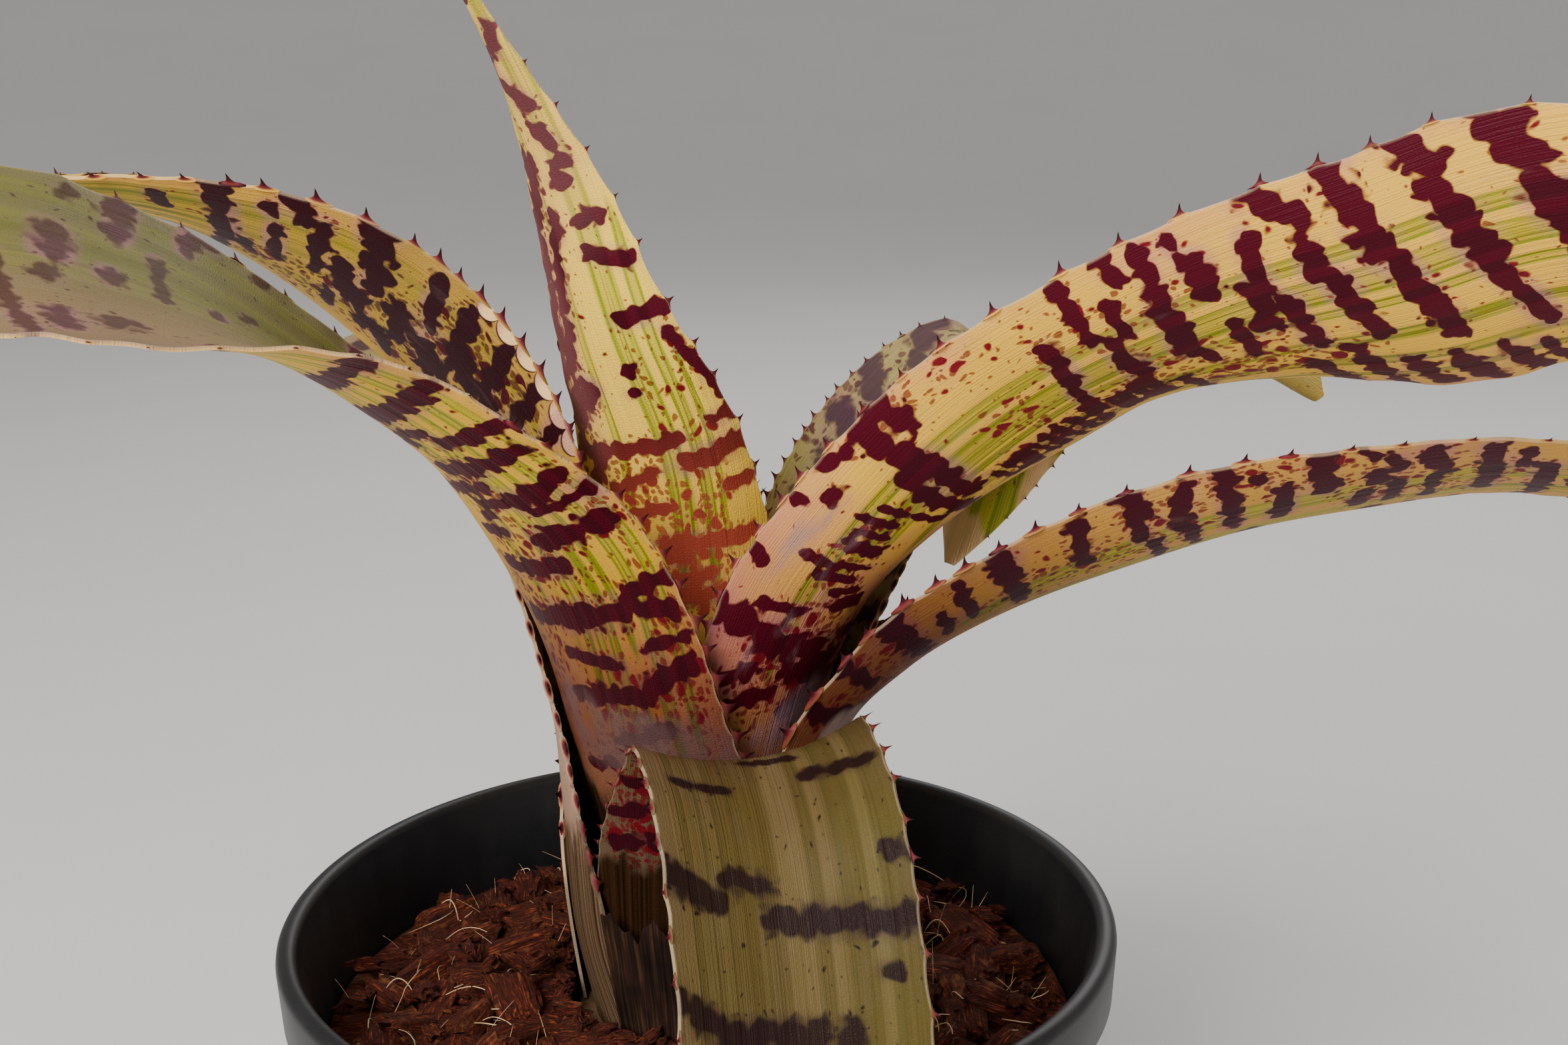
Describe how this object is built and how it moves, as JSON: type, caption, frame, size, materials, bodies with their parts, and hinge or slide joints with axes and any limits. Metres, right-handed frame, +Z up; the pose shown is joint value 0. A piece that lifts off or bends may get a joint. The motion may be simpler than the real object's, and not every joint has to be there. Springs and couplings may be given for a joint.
{
  "type": "potted neoregelia hybrid",
  "caption": "Tank bromeliad with spiny-edged, barred and striped strap leaves in a rosette, in a round black nursery pot filled with coir chips.",
  "frame": {"origin": "centre of the pot's flat base, on the surface that the pot stands on", "axes": "+Z up along the pot's axis; -Y is the front, with the leaf that hangs over the rim; +X to the right seen from the front"},
  "size_m": [0.3761, 0.234, 0.2944],
  "materials": {
    "pot_plastic": "satin",
    "coir": "matte",
    "stem": "matte",
    "dry_leaf": "matte",
    "leaf": "satin"
  },
  "bodies": {
    "root": {"pot": "pot_plastic", "coir_mix": "coir", "crown": "stem", "dry_sheath": "dry_leaf", "leaf_centre": "leaf", "leaf_back_left": "leaf", "leaf_right_back": "leaf", "leaf_right": "leaf", "leaf_back_right": "leaf", "leaf_left": "leaf", "leaf_right_low": "leaf", "leaf_left_old": "leaf", "leaf_front": "leaf", "leaf_back": "leaf"}
  },
  "joints": []
}
